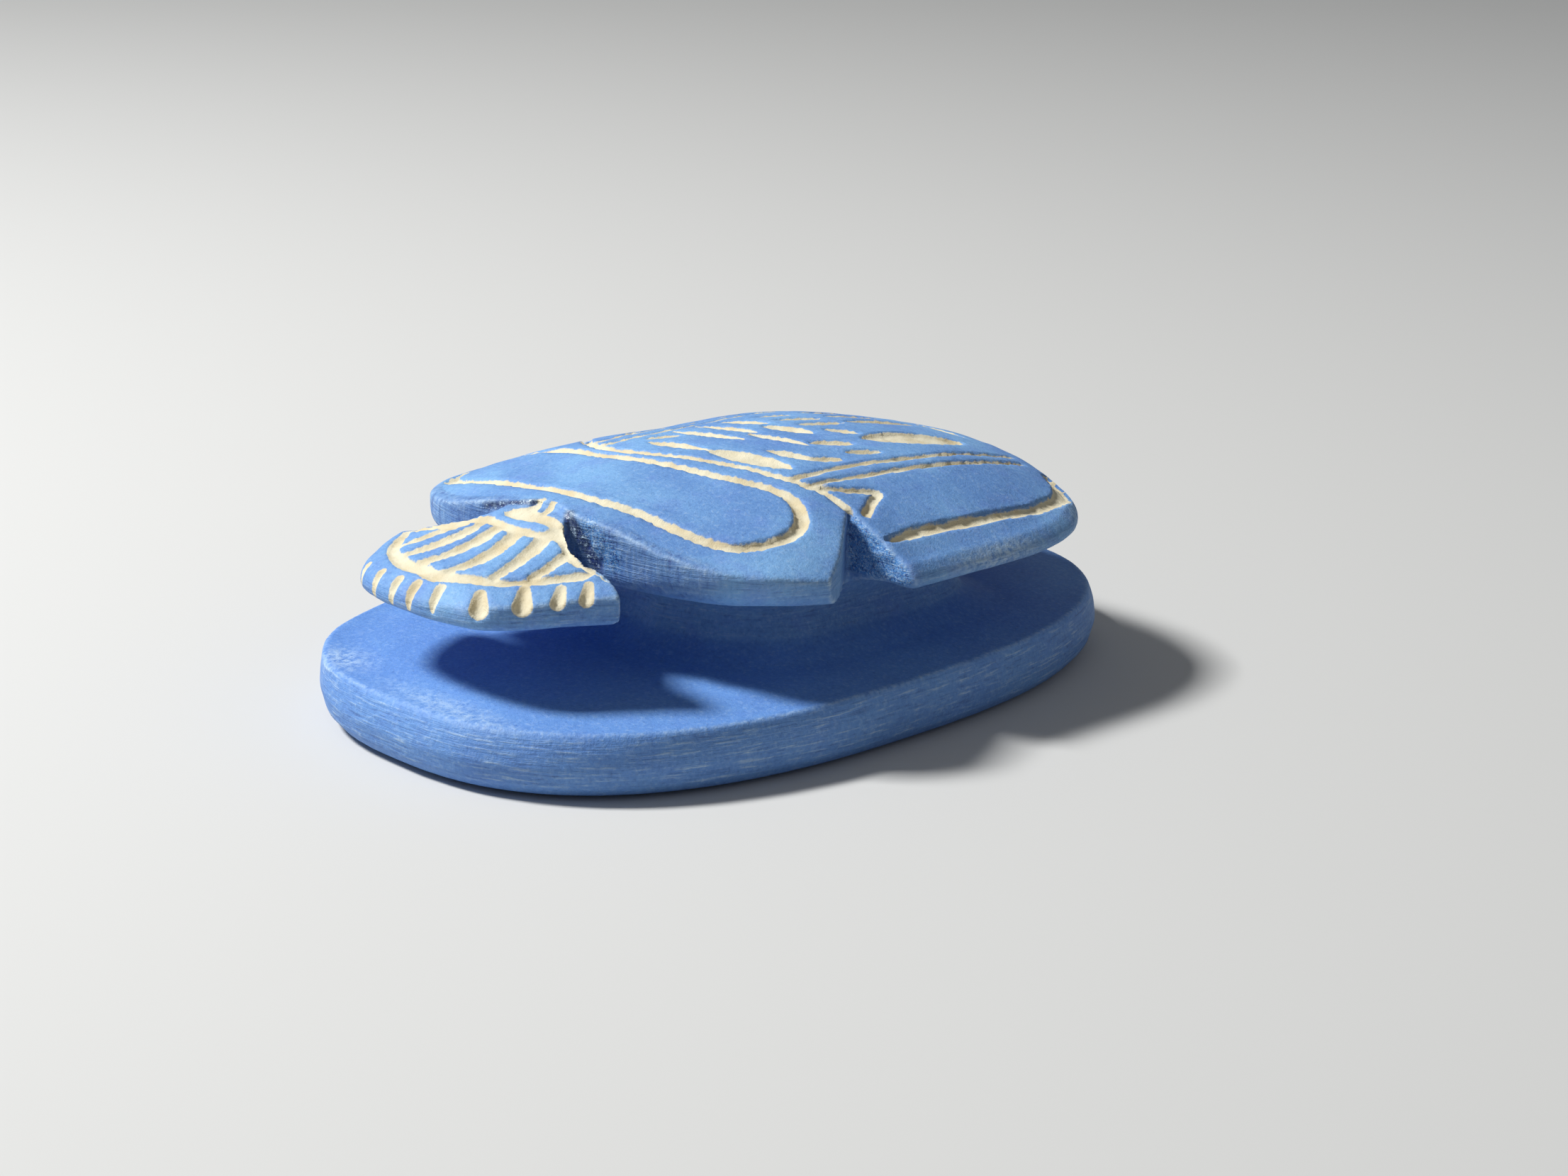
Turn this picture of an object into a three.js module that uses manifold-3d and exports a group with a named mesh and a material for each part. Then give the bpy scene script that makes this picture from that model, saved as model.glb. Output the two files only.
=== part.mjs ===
// Carved scarab amulet: a beetle cut from one piece of soft stone on a flat oval base.
// Millimetres, +Z up, head towards -Y, wing cases towards +Y, the beetle's left side at +X.
// Everything is one solid: base, hollowed neck, body with its domed back, fan-shaped head.
// Cut lines, gouges and edge nicks are taken out of the finished lump, as a carver would.
import * as THREE from 'three';
import Module from 'manifold-3d';
import { mergeVertices } from 'three/addons/utils/BufferGeometryUtils.js';

const wasm = await Module();
wasm.setup();

// Base: an oval with full ends, a rounded foot, a wall that leans in above its middle, and a nearly flat top.
const BASE = { halfLength: 40, halfWidth: 26.1, thickness: 6.6, power: 2.5, egg: -0.036,
  wall: [[3, 0], [1.3, 0.5], [0.4, 1.5], [0, 3.2], [0.3, 4.6], [0.85, 5.6], [1.6, 6.2], [5, 6.55]] };

// Body outline: one oval power for the front half (nearly square), one for the rear half.
// By hand, the front was cut back further in the middle, on the left and most behind the head.
const BODY = { halfWidth: 24.85, middle: 8.0, frontLength: 31.3, rearLength: 23.6,
  frontPower: 3.92, leftPowerCut: 0.27, rearPower: 3.18, middleCut: 1.0, leftCut: 1.0, napeCut: 0.6 };

// Back: the height of the middle line, and of the top edge in front, at the corners, sides and rear.
const BACK = { crown: 22.35, crownAt: -3.0, frontDrop: 2.14, rearDrop: 0.57, fall: 2.37,
  edgeFront: 20.8, edgeCorner: 17.05, edgeSide: 14.9, edgeRear: 18.2, rightRoll: 0.45 };

const UNDERSIDE = { rear: 13.75, front: 14.3, frontStart: -8, frontEnd: -18 };
const NECK = { inset: 10.8, flare: 7.6 };

// Head: a thin fan that slopes forwards and falls away to both sides.
const HEAD = { ridge: 19.9, from: -22.9, slope: 0.273, sideDrop: 2.9, halfWidth: 14.7,
  noseDrop: 0.9, noseFrom: -34, underside: 13.25, undersideSlope: 0.03, centre: [0, -28.5] };

// Cut lines.
const CUT = { broad: 1.3, medium: 1.0, fine: 0.7, depth: 0.45 };

const smooth = (a, b, t) => {
  const u = Math.min(Math.max((t - a) / (b - a), 0), 1);
  return u * u * (3 - 2 * u);
};

// Distance from the middle to an oval with half axes a, b and power n, in direction (c, s).
const ovalReach = (a, b, n, c, s) =>
  1 / Math.pow(Math.pow(Math.abs(c) / a, n) + Math.pow(Math.abs(s) / b, n), 1 / n);

const baseSpot = (angle, inset) => {
  const c = Math.cos(angle), s = Math.sin(angle);
  const r = ovalReach(BASE.halfWidth - inset, BASE.halfLength - inset, BASE.power, c, s);
  return [r * c * (1 + BASE.egg * r * s / BASE.halfLength), r * s];
};

const frontLength = (x) => BODY.frontLength - BODY.middleCut * smooth(-13, -3, x) - BODY.leftCut * smooth(2, 9, x)
  - BODY.napeCut * smooth(3.2, 0.8, Math.abs(x - 0.4));

const bodySpot = (angle, inset) => {
  const c = Math.cos(angle), s = Math.sin(angle);
  if (s >= 0) {
    const r = ovalReach(BODY.halfWidth - inset, BODY.rearLength - inset, BODY.rearPower, c, s);
    return [r * c, BODY.middle + r * s];
  }
  let r = BODY.frontLength;
  for (let round = 0; round < 6; round++) {
    const power = BODY.frontPower - BODY.leftPowerCut * smooth(-5, 5, r * c);
    r = ovalReach(BODY.halfWidth - inset, frontLength(r * c) - inset, power, c, s);
  }
  return [r * c, BODY.middle + r * s];
};

// 0 in the middle of the back, 1 on the body outline.
const outward = (x, y) => {
  const front = y < BODY.middle;
  const n = front ? BODY.frontPower : BODY.rearPower;
  const a = front ? BODY.frontLength : BODY.rearLength;
  const across = Math.pow(Math.abs(x / BODY.halfWidth), n);
  const along = Math.pow(Math.abs((y - BODY.middle) / a), n);
  return Math.pow(across + along, 1 / n);
};

const backHeight = (x, y) => {
  const turn = Math.atan2(y - BODY.middle, Math.abs(x)) * 180 / Math.PI;
  const edge = BACK.edgeFront
    + (BACK.edgeCorner - BACK.edgeFront) * smooth(-90, -48, turn)
    + (BACK.edgeSide - BACK.edgeCorner) * smooth(-52, -12, turn)
    + (BACK.edgeRear - BACK.edgeSide) * smooth(25, 90, turn);
  const along = (y - BACK.crownAt) / 25;
  const ridge = BACK.crown - (along < 0 ? BACK.frontDrop : BACK.rearDrop) * along * along;
  const share = 1 - Math.pow(Math.min(outward(x, y), 1), BACK.fall);
  return edge + (ridge - edge) * share - BACK.rightRoll * smooth(-1, -5, x) * smooth(-19.5, -23, y);
};

const undersideHeight = (y) =>
  UNDERSIDE.rear + (UNDERSIDE.front - UNDERSIDE.rear) * smooth(UNDERSIDE.frontStart, UNDERSIDE.frontEnd, y);

const headHeight = (x, y) => {
  const nose = Math.max(Math.min((HEAD.noseFrom - y) / 3, 1.2), 0);
  return HEAD.ridge + HEAD.slope * (y - HEAD.from) - HEAD.sideDrop * (x / HEAD.halfWidth) ** 2
    - HEAD.noseDrop * nose * nose;
};

// Turns a lathe made of plain rings into a free shape: place(column, row) gives each vertex.
const turned = (rows, columns, place) => {
  const profile = [];
  for (let j = 0; j < rows; j++) {
    const onAxis = j === 0 || j === rows - 1;
    profile.push(new THREE.Vector2(onAxis ? 0 : 1 + j * 0.01, j));
  }
  const geometry = new THREE.LatheGeometry(profile, columns);
  const position = geometry.attributes.position;
  for (let k = 0; k < position.count; k++) {
    const column = Math.floor(k / rows) % columns;
    position.setXYZ(k, ...place(column, k % rows));
  }
  return geometry;
};

const toSolid = (geometry) => {
  const bare = geometry.clone();
  bare.deleteAttribute('normal');
  bare.deleteAttribute('uv');
  const merged = mergeVertices(bare, 1e-5);
  const index = merged.index.array;
  const kept = [];
  for (let k = 0; k < index.length; k += 3) {
    const [a, b, c] = [index[k], index[k + 1], index[k + 2]];
    if (a !== b && b !== c && c !== a) kept.push(a, b, c);
  }
  const build = (order) => new wasm.Manifold(new wasm.Mesh({
    numProp: 3,
    vertProperties: new Float32Array(merged.attributes.position.array),
    triVerts: new Uint32Array(order),
  }));
  const solid = build(kept);
  if (solid.volume() > 0) return solid;
  const flipped = [];
  for (let k = 0; k < kept.length; k += 3) flipped.push(kept[k], kept[k + 2], kept[k + 1]);
  return build(flipped);
};

// Base plate: rings of [inset from the outline, height]; an inset under 0 is the middle.
const baseRows = [[-1, 0], ...BASE.wall, [-1, BASE.thickness]];
const baseColumns = 64;
const base = toSolid(turned(baseRows.length, baseColumns, (i, j) => {
  const [inset, z] = baseRows[j];
  if (inset < 0) return [0, 0, z];
  const [x, y] = baseSpot(i / baseColumns * 2 * Math.PI, inset);
  return [x, y, z];
}));

// Neck and body: hollowed in below the body, up a low wall, over the edge and across the back.
const bodyRows = [
  ['axis', 2], ['at', NECK.flare - 1.6, 2], ['at', NECK.flare - 1.6, 5.6], ['at', NECK.flare, 6.8],
  ['at', 9.7, 8.0], ['at', NECK.inset, 10.2], ['at', 9.2, 12.6], ['under', 5.2, -0.2], ['under', 1.6, 0],
  ['wall', 0.0, 0.3], ['wall', 0.12, 0.78],
  ['back', 0.7], ['back', 2.4], ['back', 6], ['back', 10], ['back', 15], ['back', 20], ['axisTop'],
];
const bodyColumns = 64;
const body = toSolid(turned(bodyRows.length, bodyColumns, (i, j) => {
  const [kind, p, q] = bodyRows[j];
  if (kind === 'axis') return [0, BODY.middle, p];
  if (kind === 'axisTop') return [0, BODY.middle, backHeight(0, BODY.middle)];
  const angle = i / bodyColumns * 2 * Math.PI;
  const [x, y] = bodySpot(angle, p);
  if (kind === 'at') return [x, y, q];
  if (kind === 'under') return [x, y, undersideHeight(y) + q];
  if (kind === 'back') return [x, y, backHeight(x, y)];
  const [ex, ey] = bodySpot(angle, 1.3);
  const low = undersideHeight(y);
  return [x, y, low + (backHeight(ex, ey) - low) * q];
}));

// Head fan: outline from the left corner round the front to the right corner, then back to the neck.
const fan = new THREE.Shape();
fan.moveTo(14.5, -25.9);
fan.splineThru([[13.2, -27.9], [11.7, -30.3], [10.3, -32.6], [8.2, -35.0], [5.6, -36.4], [1.9, -37.1], [-2.2, -37.2],
  [-5.4, -36.9], [-8.8, -35.9], [-10.9, -34.0], [-12.4, -31.8], [-13.7, -29.4], [-14.1, -27.4]]
  .map(([x, y]) => new THREE.Vector2(x, y)));
fan.lineTo(-13.0, -26.9);
fan.splineThru([[-10.4, -26.7], [-8.0, -26.0], [-6.0, -24.7], [-5.2, -23.2], [-4.9, -20.5]]
  .map(([x, y]) => new THREE.Vector2(x, y)));
fan.lineTo(3.0, -20.5);
fan.splineThru([[3.3, -22.6], [5.1, -23.8], [7.0, -24.8], [8.9, -25.4], [11.3, -25.2], [13.4, -25.4]]
  .map(([x, y]) => new THREE.Vector2(x, y)));
fan.closePath();
const rimPoints = fan.getPoints(2).slice(0, -1);
const headRows = [['bottom', 99], ['bottom', 1.1], ['edge', 0.25, 0.22], ['edge', 0, 0.55], ['edge', 0.12, 0.84],
  ['top', 0.6], ['top', 2.6], ['top', 6], ['top', 99]];
const head = toSolid(turned(headRows.length, rimPoints.length, (i, j) => {
  const [kind, inset, share] = headRows[j];
  const [cx, cy] = HEAD.centre;
  const dx = rimPoints[i].x - cx, dy = rimPoints[i].y - cy;
  const reach = Math.hypot(dx, dy);
  const part = inset > 90 ? 0 : Math.max(1 - inset / reach, 0.15);
  const x = cx + dx * part, y = cy + dy * part;
  const low = HEAD.underside + HEAD.undersideSlope * (y + 37);
  if (kind === 'bottom') return [x, y, low];
  if (kind === 'top') return [x, y, headHeight(x, y)];
  return [x, y, low + (headHeight(x, y) - low) * share];
}));

// A wedge of stone left between the rear edges of the fan and the front wall of the body.
const wedgePlan = new THREE.Shape([[-11.5, -20.5], [-11.8, -25.4], [-7, -25.2], [0, -24], [4.6, -23.9], [5.8, -22.8],
  [6.2, -20.5]].map(([x, y]) => new THREE.Vector2(x, y)));
const wedge = toSolid(new THREE.ExtrudeGeometry(wedgePlan, { depth: 1.9, bevelEnabled: false }))
  .translate(0, 0, 13.9);

let scarab = base.add(body).add(head).add(wedge);

// Side notches between thorax and wing cases; the right one is narrower.
const notch = (points) => toSolid(new THREE.ExtrudeGeometry(
  new THREE.Shape(points.map(([x, y]) => new THREE.Vector2(x, y))), { depth: 14, bevelEnabled: false }))
  .translate(0, 0, 11.8);
const leftNotch = notch([[16.3, -0.4], [32, -0.3], [32, -13], [25.4, -12.2], [23.4, -9.4], [21.2, -6.2],
  [18.6, -3.2]]);
const rightNotch = notch([[-16.6, -2.4], [-18.8, -4.3], [-21.2, -6.2], [-24.0, -8.2], [-30, -10.0], [-30, -4.6],
  [-24.5, -3.7], [-20, -3.0]]);
scarab = scarab.subtract(leftNotch).subtract(rightNotch);

// A cut line: an oval bar drawn along a path that lies in the surface.
const groove = (plan, width, surface, closed = false, depth = CUT.depth, each = 1.2) => {
  const points = plan.map(([x, y]) => new THREE.Vector3(x, y, surface(x, y)));
  const path = new THREE.CatmullRomCurve3(points, closed);
  const section = new THREE.Shape();
  const corners = 5;
  for (let k = 0; k < corners; k++) {
    const turn = (k + 0.5) / corners * 2 * Math.PI;
    const across = Math.sin(turn) * width / 2 / Math.cos(Math.PI / corners);
    const down = Math.cos(turn) * depth;
    if (k === 0) section.moveTo(down, across); else section.lineTo(down, across);
  }
  section.closePath();
  return toSolid(new THREE.ExtrudeGeometry(section,
    { steps: Math.round(plan.length * each), extrudePath: path, bevelEnabled: false }));
};

const mirrored = (plan) => plan.map(([x, y]) => [-x, y]);

// Long loop round the thorax.
const loop = [[-6.0, -18.6], [-0.8, -18.8], [3.1, -18.2], [6.8, -17.2], [10.8, -16.6], [14.4, -15.7], [16.6, -14.3],
  [17.7, -11.4], [17.6, -8.8], [16.4, -6.4], [13.6, -4.7], [10.4, -4.9], [4.8, -6.9], [-1.0, -8.1], [-7.7, -8.7],
  [-13.2, -8.5], [-18.4, -9.0], [-20.7, -10.6], [-21.2, -13.0], [-20.6, -16.0], [-18.0, -17.5], [-12.1, -17.8]];
// Line between thorax and wing cases.
const divide = [[16.3, -0.6], [13.6, -0.8], [9.3, -2.3], [5.7, -3.3], [2.4, -4.6], [-1.1, -5.8], [-5.0, -6.7],
  [-9.4, -6.9], [-13.4, -5.6], [-16.8, -2.6]];
// Two fine lines on each side of the middle panel.
const panelLines = [
  [[10.3, -2.2], [10.0, 6.0], [10.6, 12.5], [10.4, 20.0], [9.5, 28.6]],
  [[11.9, -1.8], [11.9, 4.4], [12.3, 12.0], [12.3, 20.0], [11.2, 28.2]],
  [[-10.3, -6.0], [-9.3, -0.2], [-9.8, 8.0], [-10.3, 20.0], [-9.5, 28.6]],
  [[-12.0, -5.4], [-11.3, 0.4], [-11.8, 8.0], [-12.3, 20.0], [-11.2, 28.2]],
];
const shoulder = [[12.2, -1.6], [13.6, 1.6], [14.8, 4.6], [16.0, 2.8], [17.3, 0.7]];
const wingEdge = [[20.4, 1.6], [20.3, 6], [20.5, 12], [20.3, 19.0], [19.0, 24.4], [17.0, 27.6], [13.8, 29.4]];

const backCuts = [
  groove(loop, CUT.broad, backHeight, true),
  groove(divide, CUT.medium, backHeight),
  ...panelLines.map((line) => groove(line, CUT.fine, backHeight, false, 0.35)),
  groove(shoulder, CUT.medium, backHeight), groove(mirrored(shoulder), CUT.medium, backHeight),
  groove(wingEdge, CUT.broad, backHeight), groove(mirrored(wingEdge), CUT.broad, backHeight),
];

// Shallow gouges in rows on the middle panel: [x, y, length, width, turn in degrees].
const gouges = [
  [-3.6, -3.0, 7.2, 1.8, 10], [4.2, -1.2, 9.0, 3.2, 16], [-4.6, 1.4, 8.4, 1.9, 16], [5.8, 2.8, 5.6, 1.9, 22],
  [-5.4, 4.7, 7.4, 1.8, 14], [1.2, 5.6, 7.0, 2.0, 14], [-6.2, 8.0, 5.4, 2.0, 24], [-1.0, 8.8, 5.6, 2.3, 20],
  [4.8, 8.8, 4.8, 2.0, 60], [-1.2, 13.2, 5.4, 1.8, 78], [5.8, 18.6, 12.5, 4.2, 84], [-0.6, 20.6, 8.6, 2.4, 82],
  [-6.9, 20.0, 7.4, 2.1, 80], [0.6, 27.2, 6.8, 2.0, 8],
];
const gouge = ([x, y, long, wide, turn]) => {
  const shape = new THREE.SphereGeometry(1, 8, 6);
  const z = backHeight(x, y);
  const dx = (backHeight(x + 1, y) - backHeight(x - 1, y)) / 2;
  const dy = (backHeight(x, y + 1) - backHeight(x, y - 1)) / 2;
  const up = new THREE.Vector3(-dx, -dy, 1).normalize();
  const frame = new THREE.Matrix4().makeRotationZ(turn * Math.PI / 180);
  frame.premultiply(new THREE.Matrix4().makeRotationFromQuaternion(
    new THREE.Quaternion().setFromUnitVectors(new THREE.Vector3(0, 0, 1), up)));
  shape.rotateX(Math.PI / 2);
  shape.scale(long / 2, wide / 2, CUT.depth + 0.1);
  shape.applyMatrix4(frame);
  shape.translate(x, y, z + 0.05);
  return toSolid(shape);
};
backCuts.push(...gouges.map(gouge));

// Head: a cut border along the front, one along the rear edge, and broad ribs between them.
const headArc = [[10.2, -26.6], [9.0, -28.8], [7.4, -30.9], [5.9, -32.3], [3.6, -33.5], [0.4, -34.5], [-2.4, -34.3],
  [-4.8, -34.1], [-7.1, -33.2], [-9.1, -32.0], [-10.6, -30.4], [-11.6, -28.9], [-12.4, -27.8]];
const headFarEdge = [[-11.8, -27.6], [-10.0, -27.6], [-7.6, -27.0], [-6.0, -26.0], [-4.3, -25.1]];
const headBand = [[-4.6, -25.2], [-3.0, -25.4], [-1.2, -25.7], [0.9, -25.7], [2.8, -25.2], [4.2, -24.4], [5.8, -24.9],
  [8.3, -26.1]];
const ribs = [
  { width: 1.3, line: [[-9.2, -31.1], [-8.3, -30.2], [-7.6, -29.2], [-6.8, -28.1], [-5.6, -26.6]] },
  { width: 1.7, line: [[-6.3, -32.7], [-5.2, -31.2], [-4.5, -29.8], [-4.1, -27.9], [-4.0, -25.7]] },
  { width: 1.5, line: [[-3.2, -33.5], [-2.2, -32.1], [-1.6, -30.4], [-1.4, -28.6], [-1.6, -26.3]] },
  { width: 1.5, line: [[0.6, -33.6], [1.4, -32.1], [1.7, -30.2], [1.4, -28.0], [1.0, -26.5]] },
  { width: 1.4, line: [[5.0, -32.0], [4.8, -30.2], [4.6, -28.3], [4.1, -26.4], [3.6, -25.3]] },
  { width: 1.1, line: [[7.4, -29.9], [7.5, -28.3], [7.3, -26.8], [7.2, -25.8]] },
];
// A leaf-shaped cut on the nape.
const napeLeaf = [[-3.4, -23.5], [-1.5, -23.4], [0.3, -23.4], [2.6, -23.3]];
const headCuts = [
  groove(headArc, 1.2, headHeight, false, 0.4),
  groove(headFarEdge, 1.3, headHeight, false, 0.4),
  groove(headBand, 1.1, headHeight, false, 0.4),
  ...ribs.map(({ width, line }) => groove(line, width, headHeight, false, 0.38)),
  groove(napeLeaf, 1.5, headHeight, false, 0.3),
];

// Nine nicks along the front edge of the fan: [x, y, turn of the outward direction in degrees, half width].
const nicks = [[12.9, -28.4, -35, 0.55], [11.6, -30.5, -35, 0.55], [9.9, -33.0, -38, 0.8], [7.2, -35.7, -58, 0.8],
  [2.6, -36.9, -80, 0.5], [-0.4, -37.2, -90, 0.5], [-2.9, -37.1, -95, 0.45], [-5.8, -36.8, -104, 0.4],
  [-8.8, -36.0, -112, 0.35]];
const nick = ([x, y, turn, halfWidth]) => {
  const back = 1.5, out = 1.0, reachAlong = 1.6, tilt = Math.PI * 0.2;
  const bar = new THREE.ExtrudeGeometry(
    new THREE.Shape([new THREE.Vector2(-back, 0), new THREE.Vector2(out, halfWidth * 1.4),
      new THREE.Vector2(out, -halfWidth * 1.4)]), { depth: 2 * reachAlong, bevelEnabled: false });
  bar.translate(0, 0, -reachAlong);
  bar.rotateY(-tilt);
  bar.rotateZ(turn * Math.PI / 180);
  const reach = new THREE.Vector2(x - HEAD.centre[0], y - HEAD.centre[1]).normalize();
  bar.translate(x + reach.x * 0.3, y + reach.y * 0.3, headHeight(x, y) - 0.55);
  return toSolid(bar);
};
headCuts.push(...nicks.map(nick));

for (const cut of [...backCuts, ...headCuts]) scarab = scarab.subtract(cut);

const result = scarab.getMesh();
const geometry = new THREE.BufferGeometry();
geometry.setAttribute('position', new THREE.BufferAttribute(new Float32Array(result.vertProperties), 3));
geometry.setIndex(new THREE.BufferAttribute(new Uint32Array(result.triVerts), 1));
geometry.computeVertexNormals();

const stone = new THREE.MeshStandardMaterial({
  name: 'blue_stained_stone', color: 0x5f86c4, roughness: 0.75, metalness: 0,
});
const carved = new THREE.Mesh(geometry, stone);
carved.name = 'carved_scarab';

const part = new THREE.Group();
part.name = 'scarab_amulet';
part.add(carved);
export default part;
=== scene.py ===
# %% [markdown]
# # A carved stone scarab
# The object is a beetle cut from one piece of soft, cream stone. Its skin was stained blue before the
# lines were cut, so every cut shows cream. The solid model gives the outline, the back and the deep cuts.
# This lesson gives the same stone a fine surface: ragged cut lines, chips, file marks and the stain. It
# starts by loading the solid.

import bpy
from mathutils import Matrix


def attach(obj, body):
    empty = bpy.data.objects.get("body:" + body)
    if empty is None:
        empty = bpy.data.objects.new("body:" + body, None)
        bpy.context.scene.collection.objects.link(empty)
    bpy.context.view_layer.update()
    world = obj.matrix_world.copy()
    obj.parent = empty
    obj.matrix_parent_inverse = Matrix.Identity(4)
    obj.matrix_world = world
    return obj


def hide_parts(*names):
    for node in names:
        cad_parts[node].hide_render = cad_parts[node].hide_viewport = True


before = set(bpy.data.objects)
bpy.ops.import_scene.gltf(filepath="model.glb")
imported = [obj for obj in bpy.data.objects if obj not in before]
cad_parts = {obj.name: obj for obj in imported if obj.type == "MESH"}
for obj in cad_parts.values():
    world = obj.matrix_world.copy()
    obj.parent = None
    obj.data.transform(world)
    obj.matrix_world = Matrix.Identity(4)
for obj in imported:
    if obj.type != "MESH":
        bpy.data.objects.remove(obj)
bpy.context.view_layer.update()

# %% [markdown]
# ## Sizes
# All shapes are written in millimetres and turned into metres at the very end, because a carver's sizes
# read best that way. The beetle looks towards -Y, +Z is up, and the middle of the underside is the
# origin. The names are the ones a maker would use: the base, the neck that holds the body above it, the
# body with its back, and the head.

# %% Sizes of the stone
import math

import bpy
import numpy as np
from mathutils import Quaternion, Vector

BASE = {"half_length": 40.0, "half_width": 26.1, "thickness": 6.6, "edge_height": 6.2,
        "power": 2.5, "egg": -0.036}
WALL_HEIGHTS = [0.0, 0.5, 1.5, 3.2, 4.6, 5.6, 6.4]
WALL_INSETS = [3.0, 1.3, 0.4, 0.0, 0.2, 0.5, 0.95]
NECK_HEIGHTS = [6.0, 6.8, 8.0, 10.2, 12.4, 13.4, 14.4]
NECK_INSETS = [6.4, 7.6, 9.6, 10.8, 9.4, 7.0, 2.0]
BODY = {"half_width": 24.85, "middle": 8.0, "front": 31.3, "rear": 23.6,
        "front_power": 3.92, "rear_power": 3.18, "left_power_cut": 0.27,
        "middle_cut": 1.0, "left_cut": 1.0, "nape_cut": 0.6}
BACK = {"crown": 22.35, "crown_at": -3.0, "front_drop": 2.14, "rear_drop": 0.57, "fall": 2.37,
        "edge_front": 20.8, "edge_corner": 17.05, "edge_side": 14.9, "edge_rear": 18.2, "right_roll": 0.45}
UNDERSIDE = {"rear": 13.75, "front": 14.3}
HEAD = {"ridge": 19.9, "from_y": -22.9, "slope": 0.273, "side_drop": 2.9, "half_width": 14.7,
        "nose_drop": 0.9, "nose_y": -34.0, "underside": 13.25, "underside_slope": 0.03}
STEP = 0.3
print("surface step, mm:", STEP)

# %% [markdown]
# ## The back, as a height over the plan
# A domed back is easiest to think of as a height above each point of the plan. One oval, nearly square in
# front and rounder behind, gives the outline. Shrinking that oval until it meets a point tells how far
# inside the edge the point lies, and that distance then shapes the rim, the wall and the hollow neck
# below.

# %% Heights and insets over the plan


def ease(start, stop, value):
    """0 before start, 1 after stop, and a soft curve between."""
    u = np.clip((value - start) / (stop - start), 0, 1)
    return u * u * (3 - 2 * u)


def oval_inset(x, y, half_width, front, rear, front_power, rear_power):
    """How far a point lies inside an oval, in mm; less than 0 outside."""
    power = np.where(y < 0, front_power, rear_power)
    reach = np.where(y < 0, front, rear)
    low, high = np.full(np.broadcast(x, y).shape, -9.0), np.full(np.broadcast(x, y).shape, half_width - 0.5)
    for _ in range(13):
        middle = (low + high) / 2
        inside = (np.abs(x) / (half_width - middle)) ** power + (np.abs(y) / (reach - middle)) ** power < 1
        low, high = np.where(inside, middle, low), np.where(inside, high, middle)
    return (low + high) / 2


def base_inset(x, y):
    across = x / (1 + BASE["egg"] * y / BASE["half_length"])
    return oval_inset(across, y, BASE["half_width"], BASE["half_length"], BASE["half_length"],
                      BASE["power"], BASE["power"])


def body_inset(x, y):
    """How far inside the body's rim; the thorax was cut back further in the middle and on its left."""
    front = (BODY["front"] - BODY["middle_cut"] * ease(-13, -3, x) - BODY["left_cut"] * ease(2, 9, x)
             - BODY["nape_cut"] * ease(3.2, 0.8, np.abs(x - 0.4)))
    power = BODY["front_power"] - BODY["left_power_cut"] * ease(-5, 5, x)
    return oval_inset(x, y - BODY["middle"], BODY["half_width"], front, BODY["rear"],
                      power, BODY["rear_power"])


def back_height(x, y):
    """The height of the domed back."""
    dy = y - BODY["middle"]
    power = np.where(dy < 0, BODY["front_power"], BODY["rear_power"])
    reach = np.where(dy < 0, BODY["front"], BODY["rear"])
    outward = (np.abs(x / BODY["half_width"]) ** power + np.abs(dy / reach) ** power) ** (1 / power)
    turn = np.degrees(np.arctan2(dy, np.abs(x)))
    edge = (BACK["edge_front"] + (BACK["edge_corner"] - BACK["edge_front"]) * ease(-90, -48, turn)
            + (BACK["edge_side"] - BACK["edge_corner"]) * ease(-52, -12, turn)
            + (BACK["edge_rear"] - BACK["edge_side"]) * ease(25, 90, turn))
    along = (y - BACK["crown_at"]) / 25
    ridge = BACK["crown"] - np.where(along < 0, BACK["front_drop"], BACK["rear_drop"]) * along**2
    roll = BACK["right_roll"] * ease(-1, -5, x) * ease(-19.5, -23, y)
    return edge + (ridge - edge) * (1 - np.clip(outward, 0, 1) ** BACK["fall"]) - roll


def head_height(x, y):
    """The height of the fan-shaped head, which slopes forwards and falls to both sides."""
    nose = np.clip((HEAD["nose_y"] - y) / 3, 0, 1.2)
    sideways = (x / HEAD["half_width"]) ** 2
    return (HEAD["ridge"] + HEAD["slope"] * (y - HEAD["from_y"]) - HEAD["side_drop"] * sideways
            - HEAD["nose_drop"] * nose**2)


print("crown of the back, mm:", round(float(back_height(0.0, BACK["crown_at"])), 2))

# %% [markdown]
# ## Outlines drawn on the plan
# The fan of the head, the web of stone behind it and the two side notches are outlines with corners. Each
# is a short list of points, with a curve through those that belong to one sweep of the tool.

# %% Curves and outlines


def sweep(points, closed=False, each=6):
    """A smooth curve through the points of one sweep of the tool."""
    p = np.array(points, float)
    ends = [p[-1], *p, p[0], p[1]] if closed else [2 * p[0] - p[1], *p, 2 * p[-1] - p[-2]]
    out = []
    for a, b, c, d in zip(ends, ends[1:], ends[2:], ends[3:]):
        for t in np.arange(each) / each:
            bend, twist = 2 * a - 5 * b + 4 * c - d, 3 * b - a - 3 * c + d
            out.append(0.5 * (2 * b + (c - a) * t + bend * t**2 + twist * t**3))
    return np.array(out if closed else [*out, p[-1]])


def line_distance(x, y, line):
    """Distance from each point to a line of points, and how far along the line the nearest spot is."""
    best, where, gone = np.full(np.broadcast(x, y).shape, 1e9), np.zeros(np.broadcast(x, y).shape), 0.0
    for (ax, ay), (bx, by) in zip(line, line[1:]):
        dx, dy = bx - ax, by - ay
        length = math.hypot(dx, dy)
        t = np.clip(((x - ax) * dx + (y - ay) * dy) / length**2, 0, 1)
        d = np.hypot(x - ax - t * dx, y - ay - t * dy)
        closer = d < best
        best, where = np.where(closer, d, best), np.where(closer, gone + t * length, where)
        gone += length
    return best, where


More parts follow.
